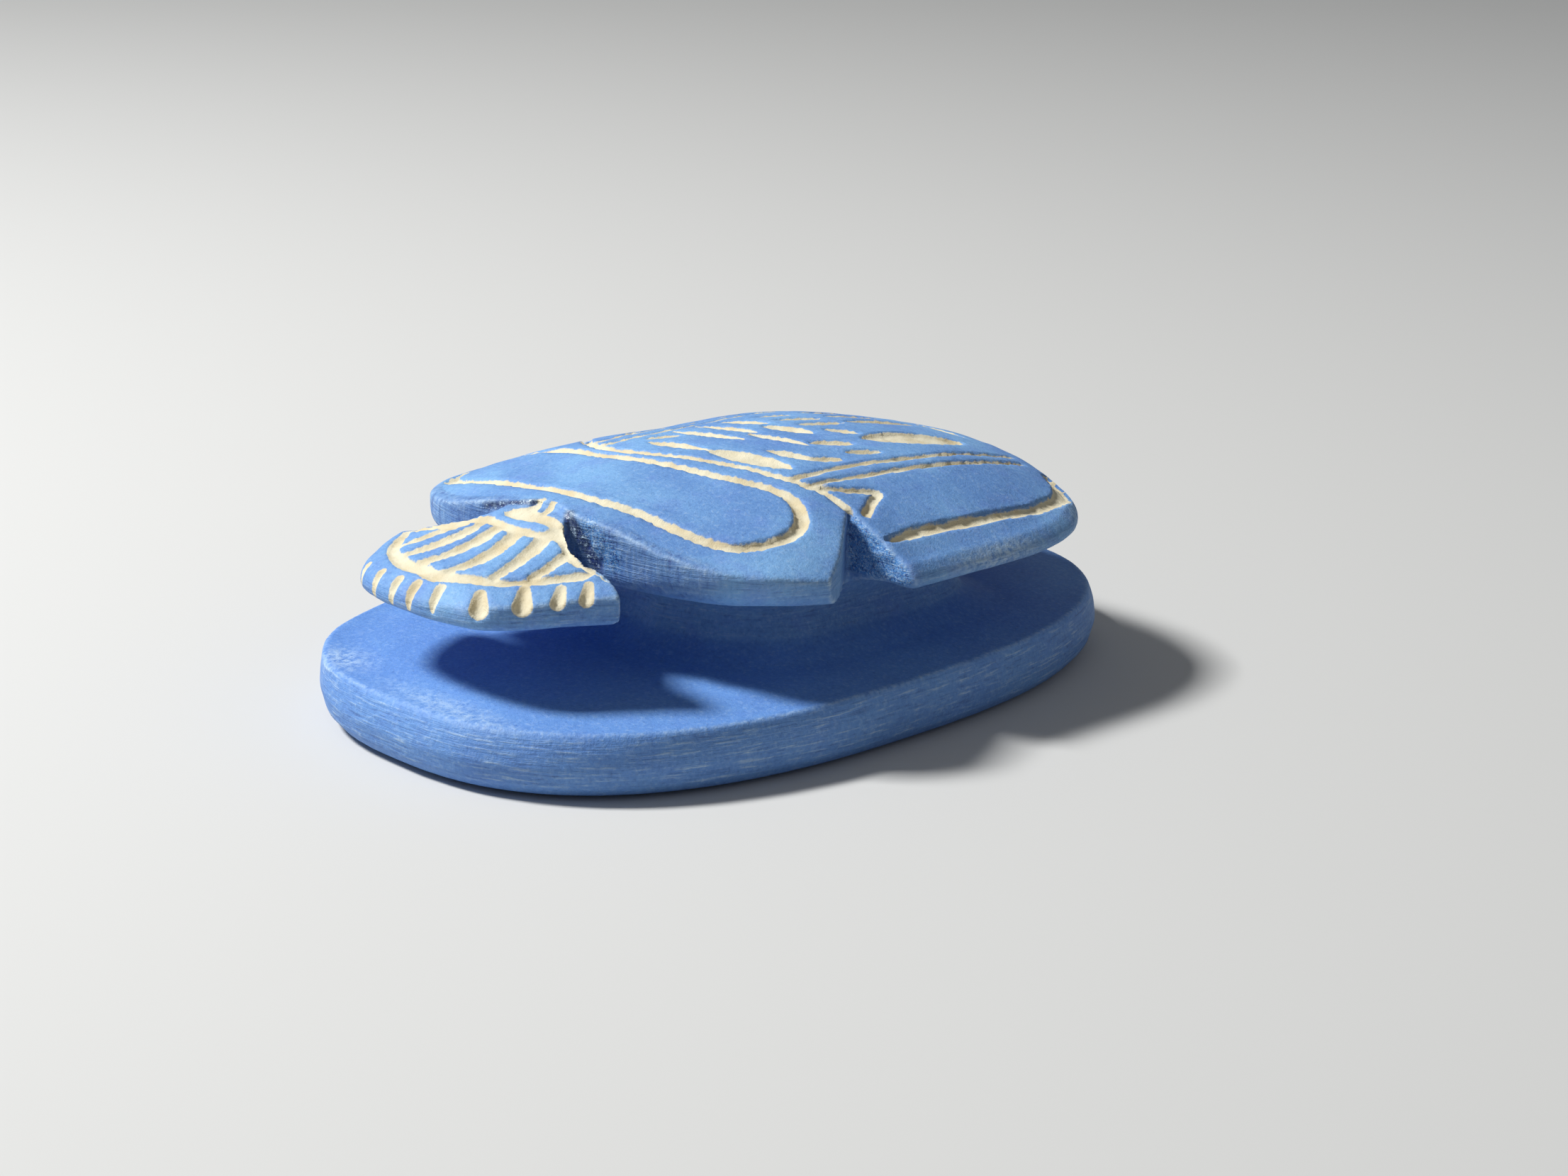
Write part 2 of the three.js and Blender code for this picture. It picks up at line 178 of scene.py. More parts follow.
def outline_distance(x, y, outline):
    """Distance to a closed outline, less than 0 inside."""
    ring = np.vstack([outline, outline[:1]])
    inside = np.zeros(np.broadcast(x, y).shape, bool)
    for (ax, ay), (bx, by) in zip(ring, ring[1:]):
        if ay != by:
            inside ^= ((ay > y) != (by > y)) & (x < (bx - ax) * (y - ay) / (by - ay) + ax)
    return np.where(inside, -1, 1) * line_distance(x, y, ring)[0]


fan = np.vstack([
    sweep([[14.5, -25.9], [13.2, -27.9], [11.7, -30.3], [10.3, -32.6], [8.2, -35.0], [5.6, -36.4],
           [1.9, -37.1], [-2.2, -37.2], [-5.4, -36.9], [-8.8, -35.9], [-10.9, -34.0], [-12.4, -31.8],
           [-13.7, -29.4], [-14.1, -27.4]]),
    sweep([[-13.0, -26.9], [-10.4, -26.7], [-8.0, -26.0], [-6.0, -24.7], [-5.2, -23.2], [-4.9, -20.5]]),
    sweep([[3.0, -20.5], [3.3, -22.6], [5.1, -23.8], [7.0, -24.8], [8.9, -25.4], [11.3, -25.2],
           [13.4, -25.4]]),
])
web = np.array([[-11.5, -20.5], [-11.8, -25.4], [-7, -25.2], [0, -24], [4.6, -23.9], [5.8, -22.8],
                [6.2, -20.5]])
left_notch = np.vstack([[[16.1, 6], [32, 6], [32, -13]],
                        sweep([[25.4, -12.2], [23.4, -9.4], [21.2, -6.2], [18.6, -3.2], [16.3, -0.6]])])
right_notch = np.array([[-16.6, -2.4], [-18.8, -4.3], [-21.2, -6.2], [-24.0, -8.2], [-30, -10.0],
                        [-30, -4.6], [-24.5, -3.7], [-20, -3.0]])
print("points in the fan's outline:", len(fan))

# %% [markdown]
# ## One lump of stone
# The lump is described by a single function that is less than 0 inside the stone. Parts that grow out of
# each other are joined softly, which leaves the smooth hollow a rasp makes between neck and base; cuts
# are taken out sharply. A mesh could instead be joined from solids, but then each soft hollow would have
# to be modelled by hand.

# %% The lump as a function


def soft_join(a, b, soft):
    h = np.clip(0.5 + 0.5 * (b - a) / soft, 0, 1)
    return b * (1 - h) + a * h - soft * h * (1 - h)


def soft_cut(a, b, soft):
    return -soft_join(-a, -b, soft)


NICKS = [((11.7, -27.1), 0.3, (12.9, -28.4), 0.54, 0.5), ((10.4, -29.1), 0.34, (11.6, -30.5), 0.56, 0.45),
         ((8.3, -31.4), 0.4, (9.9, -33.0), 0.78, 0.75), ((6.0, -34.4), 0.42, (7.2, -35.6), 0.8, 0.85),
         ((2.1, -35.7), 0.46, (2.6, -36.8), 0.38, 0.85), ((-0.7, -36.1), 0.5, (-0.4, -37.1), 0.38, 1.1),
         ((-3.2, -36.1), 0.46, (-2.9, -37.1), 0.34, 1.15), ((-6.1, -35.7), 0.38, (-5.8, -36.8), 0.3, 1.5),
         ((-9.2, -34.8), 0.3, (-8.8, -36.0), 0.26, 1.5)]


def nick_distance(x, y, z):
    """Distance to the nicks that are filed over the front edge of the fan, less than 0 inside one."""
    best = np.full(np.broadcast(x, y, z).shape, 9.0)
    for (ix, iy), inner, (cx, cy), middle, down in NICKS:
        points = [(ix, iy, head_height(ix, iy) + 0.12, inner), (cx, cy, head_height(cx, cy) - 0.1, middle),
                  (cx, cy, head_height(cx, cy) - down, 0.12)]
        for a, b in zip(points, points[1:]):
            d = np.subtract(b[:3], a[:3])
            t = np.clip(((x - a[0]) * d[0] + (y - a[1]) * d[1] + (z - a[2]) * d[2]) / (d @ d), 0, 1)
            away = np.sqrt((x - a[0] - t * d[0]) ** 2 + (y - a[1] - t * d[1]) ** 2
                           + (z - a[2] - t * d[2]) ** 2)
            best = np.minimum(best, away - (a[3] + (b[3] - a[3]) * t))
    return best


def wing_cut(x, y, z):
    """Distances behind the wing case's cut face and inside the plan of the left notch."""
    return y + 0.5 - 0.1 * np.clip(18 - z, 0, 5), outline_distance(x, y, left_notch)


def lump(x, y, z):
    """Less than 0 inside the stone, before the fine cut lines."""
    inset, plate_inset = body_inset(x, y), base_inset(x, y)
    low = UNDERSIDE["rear"] + (UNDERSIDE["front"] - UNDERSIDE["rear"]) * ease(-8, -18, y)
    lean = 1 - 0.6 * ease(-6, -13, x) * ease(-24, -32, y) + 0.3 * ease(-28, -36, y) * ease(-7, -1, x)
    wall = np.interp(z, WALL_HEIGHTS, WALL_INSETS) * np.where(z > 3.2, lean, 1) - plate_inset
    roll = BASE["edge_height"] + (BASE["thickness"] - BASE["edge_height"]) * ease(1.5, 7, plate_inset)
    plate = soft_cut(soft_cut(wall, z - roll, 0.22), -z, 0.5)
    neck = np.interp(z, NECK_HEIGHTS, NECK_INSETS) - inset
    neck = np.maximum(np.maximum(neck, z - 15.5), 3.0 - z)
    top = back_height(x, y)
    steep = np.hypot(back_height(x + 0.3, y) - back_height(x - 0.3, y),
                     back_height(x, y + 0.3) - back_height(x, y - 0.3)) / 0.6
    rim = 0.4 + 1.0 * ease(-12, 0, y)
    shell = soft_cut((z - top) / np.hypot(1, steep), -inset, rim)
    shell = soft_cut(shell, low - z, 1.7 + 1.2 * ease(8, 15, x) * ease(-4, -10, y))
    face = outline_distance(x, y, fan)
    brow = HEAD["underside"] + HEAD["underside_slope"] * (y + 37)
    plate_head = soft_cut(soft_cut(z - head_height(x, y), face, 0.35 + 0.5 * ease(4, -6, x)), brow - z, 1.0)
    behind = np.maximum(np.maximum(outline_distance(x, y, web), z - 15.8), 13.9 - z)
    stone = soft_join(plate, neck, 1.2)
    stone = soft_join(stone, shell, 1.3)
    stone = soft_join(stone, soft_join(plate_head, behind, 0.5), 0.35)
    facet, sides = wing_cut(x, y, z)
    cut_left = np.maximum(np.maximum(sides, facet), 11.8 - z)
    cut_right = np.maximum(outline_distance(x, y, right_notch), 11.8 - z)
    left_soft = 0.15 + 0.6 * ease(-0.4, 0.4, facet - sides)
    return soft_cut(soft_cut(stone, -cut_left, left_soft), -cut_right, 0.3)


print("stone at the crown:", bool(lump(np.array([0.0]), np.array([0.0]), np.array([15.0]))[0] < 0))

# %% [markdown]
# ## From the function to a mesh
# The function is read on a fine lattice. Each small box of the lattice that the surface passes through
# gets one vertex, at the mean of the places where the surface crosses the box's edges, and neighbours are
# joined by four-sided faces. Unlike a voxel remesh it keeps the slopes true, and it needs no start mesh.

# %% Skin over the lattice


def skin(values, origin, step):
    """Vertices and four-sided faces of the surface where values cross 0."""
    inside = values < 0
    corners = [(i, j, k) for i in (0, 1) for j in (0, 1) for k in (0, 1)]
    shape = tuple(n - 1 for n in values.shape)
    part = lambda a, c: a[c[0]:c[0] + shape[0], c[1]:c[1] + shape[1], c[2]:c[2] + shape[2]]
    count = sum(part(inside, c).astype(np.int8) for c in corners)
    crossed = (count > 0) & (count < 8)
    number = np.full(shape, -1, np.int32)
    number[crossed] = np.arange(crossed.sum())
    cell = np.argwhere(crossed)
    at = {c: part(values, c)[crossed] for c in corners}
    total, hits = np.zeros((len(cell), 3)), np.zeros(len(cell))
    for a in corners:
        for axis in range(3):
            if a[axis] == 0:
                b = tuple(a[n] + (n == axis) for n in range(3))
                va, vb = at[a], at[b]
                hit = (va < 0) != (vb < 0)
                t = va[hit] / (va[hit] - vb[hit])
                spot = np.tile(np.array(a, float), (len(t), 1))
                spot[:, axis] += t
                total[hit] += spot
                hits[hit] += 1
    vertices = origin + (cell + total / hits[:, None]) * step
    faces = []
    for axis in range(3):
        u, v = (axis + 1) % 3, (axis + 2) % 3
        first = [slice(None)] * 3
        second = [slice(None)] * 3
        first[axis], second[axis] = slice(0, -1), slice(1, None)
        change = inside[tuple(first)] != inside[tuple(second)]
        start = np.argwhere(change)
        kept = (start[:, u] > 0) & (start[:, v] > 0) & (start[:, u] < shape[u]) & (start[:, v] < shape[v])
        start = start[kept]
        ring = []
        for du, dv in ((-1, -1), (0, -1), (0, 0), (-1, 0)):
            c = start.copy()
            c[:, u] += du
            c[:, v] += dv
            ring.append(number[c[:, 0], c[:, 1], c[:, 2]])
        quads = np.stack(ring, 1)
        outwards = inside[start[:, 0], start[:, 1], start[:, 2]]
        quads[~outwards] = quads[~outwards][:, ::-1]
        faces.append(quads)
    return vertices, np.vstack(faces)


grid = [np.arange(a, b, STEP) for a, b in ((-26.9, 26.9), (-40.7, 40.7), (-0.65, 23.0))]
gx, gy, gz = grid[0][:, None, None], grid[1][None, :, None], grid[2][None, None, :]
values = lump(gx, gy, gz)
front_rows = grid[1] < -25
near_front = values[:, front_rows, :]
values[:, front_rows, :] = soft_cut(near_front, -nick_distance(gx, gy[:, front_rows, :], gz), 0.12)
points, quads = skin(values, np.array([g[0] for g in grid]), STEP)
print("vertices:", len(points), "faces:", len(quads))

# %% [markdown]
# ## Unevenness
# Nothing on a hand-carved stone is perfectly even. A smooth random field, made by blending random numbers
# at the corners of a box grid, moves the surface by up to a tenth of a millimetre and makes the edges
# of the cuts ragged.

# %% Random unevenness


def uneven(spots, size, seed):
    """Smooth random values from -1 to 1 whose lumps are about size mm wide."""
    q = spots / size + seed * 7.31
    cell = np.floor(q).astype(np.int64)
    f = q - cell
    f = f * f * (3 - 2 * f)
    total = np.zeros(len(spots))
    for i in (0, 1):
        for j in (0, 1):
            for k in (0, 1):
                h = (cell[:, 0] + i) * 73856093 ^ (cell[:, 1] + j) * 19349663
                h = h ^ (cell[:, 2] + k) * 83492791 ^ seed * 40503
                h = (h ^ (h >> 13)) * 1274126177 & 0x7FFFFFFF
                h = (h ^ (h >> 15)) & 0xFFFF
                share = (f[:, 0] if i else 1 - f[:, 0]) * (f[:, 1] if j else 1 - f[:, 1])
                share = share * (f[:, 2] if k else 1 - f[:, 2])
                total += share * (h / 32767.5 - 1)
    return total


print("spread of the unevenness:", round(float(uneven(points[:5000], 1.0, 1).std()), 3))

# %% [markdown]
# ## Cut lines and gouges
# A graver leaves a round-bottomed line about a millimetre wide. Each line is a curve on the plan with a
# width and a depth; each gouge on the middle panel is a leaf shape. Rows of such strokes, which spell
# nothing, fill the panel. For every vertex the deepest cut wins, and the distance to the cut's edge is
# kept: it later tells cream from blue.

# %% Lines on the back and on the head


LOOP = [
    [-21.2, -13.0], [-20.6, -16.0], [-18.0, -17.5], [-12.1, -17.8], [-6.0, -18.6], [-0.8, -18.8],
    [3.1, -18.2], [6.8, -17.2], [10.8, -16.6], [14.4, -15.7], [16.6, -14.3], [17.7, -11.4],
    [17.6, -8.8], [16.4, -6.4], [13.6, -4.7], [10.4, -4.9], [4.8, -6.9], [-1.0, -8.1], [-7.7, -8.7],
    [-13.2, -8.5], [-18.4, -9.0], [-20.7, -10.6],
]
DIVIDE = [
    [16.3, -0.6], [13.6, -0.8], [9.3, -2.3], [5.7, -3.3], [2.4, -4.6], [-1.1, -5.8], [-5.0, -6.7],
    [-9.4, -6.9], [-13.4, -5.6], [-16.8, -2.6],
]
PANEL_INNER = [[10.3, -2.2], [10.0, 6.0], [10.6, 12.5], [10.4, 20.0], [9.5, 28.6]]
PANEL_OUTER = [[11.9, -1.8], [11.9, 4.4], [12.3, 12.0], [12.3, 20.0], [11.2, 28.2]]
FAR_INNER = [[-10.3, -6.0], [-9.3, -0.2], [-9.8, 8.0], [-10.3, 20.0], [-9.5, 28.6]]
FAR_OUTER = [[-12.0, -5.4], [-11.3, 0.4], [-11.8, 8.0], [-12.3, 20.0], [-11.2, 28.2]]
SHOULDER = [[12.2, -1.6], [13.6, 1.6], [14.8, 4.6], [16.0, 2.8], [17.3, 0.7]]
WING_EDGE = [
    [20.5, 0.2, 0.3], [20.4, 2.5, 1.0], [20.3, 6, 1.25], [20.5, 12, 1.2], [20.3, 19.0, 1.2],
    [19.0, 24.4, 1.5], [17.0, 27.6, 1.9], [13.8, 29.4, 1.6],
]
HEAD_ARC = [
    [10.6, -26.0, 0.7], [10.2, -26.9, 1.2], [9.0, -28.8, 1.1], [7.4, -30.9, 1.0], [5.9, -32.3, 1.1],
    [3.6, -33.5, 1.4], [0.4, -34.5, 1.6], [-2.4, -34.3, 1.4], [-4.8, -34.1, 1.4], [-7.1, -33.2, 1.3],
    [-9.1, -32.0, 1.2], [-10.6, -30.4, 1.3], [-11.6, -28.9, 1.1], [-12.5, -27.6, 1.0],
]
HEAD_FAR_EDGE = [
    [-12.3, -27.5, 1.0], [-10.0, -27.6, 1.3], [-7.6, -27.0, 1.6], [-6.0, -26.0, 1.5],
    [-4.3, -25.1, 1.3],
]
HEAD_BAND = [
    [-4.6, -25.2, 1.2], [-3.0, -25.4, 1.1], [-1.2, -25.7, 1.2], [0.9, -25.7, 1.3], [2.8, -25.2, 1.1],
    [3.9, -24.3, 1.8], [5.0, -24.4, 1.4], [6.8, -25.2, 1.0], [8.3, -25.9, 0.9], [10.5, -25.6, 0.3],
    [12.4, -25.5, 0.15],
]
RIBS = [
    [[-9.2, -31.1, 0.9], [-8.3, -30.2, 1.3], [-7.6, -29.2, 1.6], [-6.8, -28.1, 1.3], [-5.6, -26.6, 1.1]],
    [[-6.3, -32.7, 1.3], [-5.2, -31.2, 1.7], [-4.5, -29.8, 1.9], [-4.1, -27.9, 1.7], [-4.0, -25.7, 1.0]],
    [[-3.2, -33.5, 1.4], [-2.2, -32.1, 1.4], [-1.6, -30.4, 1.6], [-1.4, -28.6, 1.7], [-1.6, -26.3, 1.6]],
    [[0.6, -33.6, 1.2], [1.4, -32.1, 1.4], [1.7, -30.2, 1.7], [1.4, -28.0, 1.7], [1.0, -26.5, 1.6]],
    [[5.0, -32.0, 1.0], [4.8, -30.2, 1.3], [4.6, -28.3, 1.5], [4.1, -26.4, 1.6], [3.6, -25.3, 1.6]],
    [[7.4, -29.9, 0.9], [7.5, -28.3, 1.1], [7.3, -26.8, 1.3], [7.2, -25.8, 1.4]],
]
NAPE = [[[-3.7, -23.6, 0.3], [-3.0, -23.5, 1.4], [-1.5, -23.4, 2.1], [0.3, -23.4, 1.5], [2.0, -23.2, 1.2],
         [3.6, -23.6, 1.2]],
        [[-1.5, -22.8, 1.4], [-1.3, -22.1, 1.0], [-1.2, -21.6, 0.6], [-1.0, -21.0, 0.3]],
        [[0.3, -23.0, 0.9], [0.3, -22.3, 0.9], [0.3, -21.7, 0.9], [0.4, -21.1, 0.5]]]


def even_width(plan, width):
    return [[x, y, width] for x, y in plan]


BACK_LINES = [(even_width(LOOP, 1.35), 0.5, True), (even_width(DIVIDE, 1.05), 0.42, False)]
for side in (1, -1):
    BACK_LINES.append(([[side * x, y, 0.95] for x, y in SHOULDER], 0.36, False))
    BACK_LINES.append(([[side * x, y, width] for x, y, width in WING_EDGE], 0.45, False))
for line in (PANEL_INNER, PANEL_OUTER, FAR_INNER, FAR_OUTER):
    BACK_LINES.append((even_width(line, 0.72), 0.3, False))
HEAD_LINES = [(line, 0.38, False) for line in (HEAD_ARC, HEAD_FAR_EDGE, HEAD_BAND, *RIBS)]
HEAD_LINES += [(line, 0.26, False) for line in NAPE]
GOUGES = [
    [-3.6, -3.0, 7.2, 1.5, 10], [4.2, -1.2, 9.0, 3.0, 16], [-7.2, -1.6, 3.6, 1.2, 60],
    [-4.6, 1.6, 8.4, 1.5, 16], [5.6, 2.6, 5.2, 1.6, 22], [8.0, 4.8, 3.6, 1.2, 66],
    [-5.2, 4.6, 7.4, 1.4, 14], [1.2, 5.4, 7.0, 1.5, 14], [-6.2, 7.8, 5.2, 1.7, 24],
    [-1.0, 8.6, 5.4, 2.0, 20], [4.8, 8.6, 4.4, 1.6, 60], [8.0, 9.6, 3.8, 1.3, 70],
    [-6.8, 12.2, 4.6, 1.2, 70], [-4.0, 12.8, 5.0, 1.3, 74], [-1.2, 13.2, 5.4, 1.4, 78],
    [2.2, 12.6, 3.6, 1.5, 40], [5.8, 18.6, 12.5, 4.2, 84], [-0.6, 20.6, 8.6, 2.0, 82],
    [-3.6, 19.8, 6.6, 1.6, 78], [-6.8, 20.0, 7.4, 1.8, 80], [0.6, 27.4, 6.8, 1.8, 8],
    [-6.0, 26.4, 4.0, 1.5, 20],
]
print("lines:", len(BACK_LINES) + len(HEAD_LINES), "gouges:", len(GOUGES))

# %% [markdown]
# ## How deep each spot is cut
# A spot on the skin is compared with every line on its own surface, the back or the head. The width of a
# line changes along it, as the graver was pressed harder or lighter. The two surfaces are told apart by
# their height and place.

# %% Depth of the cuts


def cuts(spots):
    """Depth of the cut at each spot, and the distance inside its ragged edge, in mm."""
    depth, bare = np.zeros(len(spots)), np.full(len(spots), -9.0)
    ragged = 0.05 * uneven(spots, 0.45, 3) + 0.06 * uneven(spots, 2.1, 4)
    floor_wave = 1 + 0.22 * uneven(spots, 1.3, 5) + 0.12 * uneven(spots, 0.5, 6)

    def take(which, inside, deep, soft):
        share = np.clip(inside / np.maximum(soft, 0.1), 0, 1)
        depth[which] = np.maximum(depth[which], deep * np.sqrt(share * (2 - share)) * floor_wave[which])
        bare[which] = np.maximum(bare[which], inside)

    x, y, z = spots.T
    for surface, lines in ((back_height, BACK_LINES), (head_height, HEAD_LINES)):
        near = np.abs(z - surface(x, y)) < 0.9
        near &= y < -20.9 if surface is head_height else body_inset(x, y) > 0.6
        for plan, deep, closed in lines:
            line = sweep(plan, closed)
            if closed:
                line = np.vstack([line, line[:1]])
            low, high = line.min(0) - 2, line.max(0) + 2
            which = np.flatnonzero(near & (x > low[0]) & (x < high[0]) & (y > low[1]) & (y < high[1]))
            away, along = line_distance(x[which], y[which], line[:, :2])
            reached = np.append(0, np.cumsum(np.hypot(*np.diff(line[:, :2], axis=0).T)))
            half = np.interp(along, reached, line[:, 2]) / 2
            take(which, half + ragged[which] - away, deep, np.minimum(half, 0.6))
        if surface is back_height:
            for cx, cy, long, wide, turn in GOUGES:
                c, s = math.cos(math.radians(turn)), math.sin(math.radians(turn))
                u, v = (x - cx) * c + (y - cy) * s, (y - cy) * c - (x - cx) * s
                which = np.flatnonzero(near & (np.abs(u) < long / 2 + 1) & (np.abs(v) < wide / 2 + 1))
                taper = 1 - (u[which] / (long / 2)) ** 2
                leaf = wide / 2 * np.sign(taper) * np.abs(taper) ** 0.6
                inside = leaf - np.abs(v[which]) + 1.4 * ragged[which]
                take(which, inside, 0.4, 0.7)
    return depth, bare


loop_plan = sweep(LOOP, True)
on_loop = np.column_stack([loop_plan, back_height(*loop_plan.T)])
print("deepest spot of the loop, mm:", round(float(cuts(on_loop)[0].max()), 2))

# %% [markdown]
# ## Rough places
# Behind the head the stone cracked away, and the wing case was chiselled off square at its front. Both
# were left rough. The slope of the lump gives the direction that faces out of the stone, and the surface
# is moved along it.

# %% Move the surface


def outward_normals(spots, reach=0.15):
    slopes = [lump(*(spots + reach * e).T) - lump(*(spots - reach * e).T) for e in np.eye(3)]
    n = np.stack(slopes, 1)
    return n / np.linalg.norm(n, axis=1, keepdims=True)


def near_line(spots, a, b, radius):
    """1 on the line from a to b and 0 beyond the radius."""
    a, d = np.array(a, float), np.subtract(b, a)
    t = np.clip((spots - a) @ d / (d @ d), 0, 1)
    return ease(radius, radius * 0.4, np.linalg.norm(spots - a - t[:, None] * d, axis=1))


def rough_places(spots):
    """The cracks round the nape, which get painted shade and painted glints, and the chiselled faces beside
    it and at the wing case's front.
    """
    cracks_painted_dark = np.maximum.reduce([near_line(spots, (3.2, -22.0, 20.2), (6.3, -21.6, 16.3), 0.85),
                                near_line(spots, (-7.6, -22.6, 18.9), (-4.5, -22.3, 19.7), 0.45),
                                near_line(spots, (-4.5, -22.3, 19.7), (-1.6, -21.8, 20.4), 0.45)])
    facet, sides = wing_cut(*spots.T)
    chiselled = ease(0.3, 0.1, np.abs(facet)) * ease(0.2, -0.2, sides) * (spots[:, 2] > 14.2)
    return cracks_painted_dark, np.maximum(chiselled, near_line(spots, (5.4, -21.5, 19.3), (8.0, -21.3, 17.2), 1.7))


normals = outward_normals(points)
depth, bare = cuts(points)
cracks_painted_dark, chiselled = rough_places(points)
wave = 0.07 * uneven(points, 5.5, 11) + 0.03 * uneven(points, 1.6, 12)
broken = cracks_painted_dark * (0.14 + 0.16 * uneven(points, 0.9, 13) + 0.10 * uneven(points, 0.5, 14))
broken += chiselled * (0.10 * uneven(points, 0.7, 15) + 0.06 * uneven(points, 0.4, 16))
flat_foot = ease(0.4, 1.2, points[:, 2])
carved = points - normals * (depth + broken + (wave + 0.03) * flat_foot)[:, None]
print("vertices in cuts:", int((bare > 0).sum()))

# %% [markdown]
# ## The mesh of the stone
# The lattice mesh is even, so flat places have more faces than they need. Decimate takes those away and
# keeps the faces in the cuts. The distances that colour the stone are then measured again at the vertices
# that are left.

# %% Build the mesh


def stone_mesh(name, vertices, faces, most_triangles):
    mesh = bpy.data.meshes.new(name)
    mesh.from_pydata((vertices / 1000).tolist(), [], faces.tolist())
    mesh.validate()
    thing = bpy.data.objects.new(name, mesh)
    bpy.context.scene.collection.objects.link(thing)
    if 2 * len(faces) > most_triangles:
        thin = thing.modifiers.new("fewer", "DECIMATE")
        thin.ratio = most_triangles / (2 * len(faces))
        bpy.context.view_layer.objects.active = thing
        bpy.ops.object.modifier_apply(modifier=thin.name)
    thing.data.shade_smooth()
    return thing


MOST_TRIANGLES = 190000
scarab = stone_mesh("scarab_stone", carved, quads, MOST_TRIANGLES)
count = len(scarab.data.vertices)
final = np.zeros(count * 3)
scarab.data.vertices.foreach_get("co", final)
final = final.reshape(-1, 3) * 1000
print("vertices kept:", count, "faces:", len(scarab.data.polygons))

# %% [markdown]
# ## What the colour needs to know
# Five numbers are stored at each vertex: how far it lies inside a cut (cream) or outside it (blue), how
# worn the stain is, with painted sheen on the rolled rims, and how much it belongs to a crack, whose colour
# is painted shade with painted glints, to a chiselled face or to the front wall of the thorax, where a
# narrow tool left upright marks and a painted shade darkens the wall. Wear and the painted sheen are
# highest on outer edges, where the lump falls away on all sides.

# %% Store the marks on the mesh


def mark(thing, name, numbers):
    layer = thing.data.attributes.new(name, "FLOAT", "POINT")
    layer.data.foreach_set("value", np.asarray(numbers, np.float32))


_, bare = cuts(final)
front = final[:, 1] < -25
bare[front] = np.maximum(bare[front], 0.16 - nick_distance(*final[front].T))
mark(scarab, "bare", np.clip(bare, -1, 1))


def patch(centre, size):
    """1 at the centre of a patch of wear or painted sheen and 0 beyond its size."""
    d = np.linalg.norm((final - np.array(centre)) / np.array(size), axis=1)
    return ease(1, 0, d)


def sharpness(spots, reach):
    """0 on flat stone, more on an outer edge: how far its surroundings lie outside the stone."""
    facing_out = outward_normals(spots, 0.3)
    across = np.cross(facing_out, (0.31, 0.17, 0.93))
    across /= np.linalg.norm(across, axis=1, keepdims=True)
    along = np.cross(facing_out, across)
    ways = (across, -across, along, -along)
    return sum(lump(*(spots + reach * way).T) for way in ways) / 4 - lump(*spots.T)


# Paler on outer edges and in patches: wear, and in part painted sheen on the rolled rims; the long strip on
# the base's front top edge is painted sheen.
edge_wear_and_sheen = ease(0.07, 0.2, sharpness(final, 0.6)) * (final[:, 2] > 4)
WEAR_AND_SHEEN_PATCHES = [
    (1.0, (23.5, 11, 15.0), (3.0, 9, 1.6)), (0.7, (-12, -36, 6.2), (6, 4, 1.5)),
    (0.6, (6, -37, 6.2), (14, 2.6, 0.9)), (0.5, (20.5, 26, 15.5), (4, 4, 2)),
    (0.6, (9.5, -21.5, 14.6), (4, 2.5, 1.2)),
]
wear_and_sheen = 0.6 * edge_wear_and_sheen
for share, centre, size in WEAR_AND_SHEEN_PATCHES:
    wear_and_sheen = np.maximum(wear_and_sheen, share * patch(centre, size))
mark(scarab, "wear_and_sheen", wear_and_sheen)
cracks_painted_dark, chiselled = rough_places(final)
mark(scarab, "crack_shade_glints", cracks_painted_dark)
mark(scarab, "chiselled", chiselled)
# The front wall band carries upright tool marks and, in the material, a painted shade.
at_rim = np.abs(body_inset(*final[:, :2].T)) < 1.0
wall_band = ease(14.4, 15.2, final[:, 2]) * ease(20.6, 19.8, final[:, 2])
mark(scarab, "front_wall", at_rim * ease(-17, -19, final[:, 1]) * wall_band)
print("share of bare stone:", round(float((bare > 0).mean()), 3))

# %% [markdown]
# ## Writing a material as sums
# Node trees are hard to read, so one small class lets the tree be written as arithmetic: a socket plus a
# socket makes an Add node. Colours are mixed with Mix nodes, because a Math node would turn them grey.

# %% Sockets that can be added and multiplied


class Sum:
    """A value in a node tree; arithmetic on it adds Math nodes."""

    def __init__(self, tree, socket):
        self.tree, self.socket = tree, socket

    def node(self, kind, settings=None, inputs=None, output=0):
        made = self.tree.nodes.new(kind)
        for key, value in (settings or {}).items():
            setattr(made, key, value)
        for key, value in (inputs or {}).items():
            if isinstance(value, Sum):
                self.tree.links.new(value.socket, made.inputs[key])
            else:
                made.inputs[key].default_value = value
        return Sum(self.tree, made.outputs[output])

    def math(self, operation, *values):
        return self.node("ShaderNodeMath", {"operation": operation}, dict(enumerate(values)))

    def __add__(self, other):
        return self.math("ADD", self, other)

    def __sub__(self, other):
        return self.math("SUBTRACT", self, other)

    def __mul__(self, other):
        return self.math("MULTIPLY", self, other)

    def __rsub__(self, other):
        return self.math("SUBTRACT", other, self)

    __radd__, __rmul__ = __add__, __mul__

    def step(self, start, stop):
        """0 at start and 1 at stop, with soft ends."""
        settings = {"interpolation_type": "SMOOTHSTEP"}
        inputs = {"Value": self, "From Min": start, "From Max": stop}
        return self.node("ShaderNodeMapRange", settings, inputs)

    def mix(self, zero, one):
        """The colour zero where this is 0 and one where it is 1."""
        return self.node("ShaderNodeMix", {"data_type": "RGBA"}, {"Factor": self, 6: zero, 7: one}, 2)

    def stretch(self, scale):
        """The vector, longer or shorter along each axis."""
        return self.node("ShaderNodeVectorMath", {"operation": "MULTIPLY"}, {0: self, 1: scale})

    def noise(self, scale, detail=2.0, roughness=0.55):
        """Noise over this vector, from about 0.2 to 0.8."""
        inputs = {"Vector": self, "Scale": scale, "Detail": detail, "Roughness": roughness}
        return self.node("ShaderNodeTexNoise", None, inputs)


print("ready to write materials")
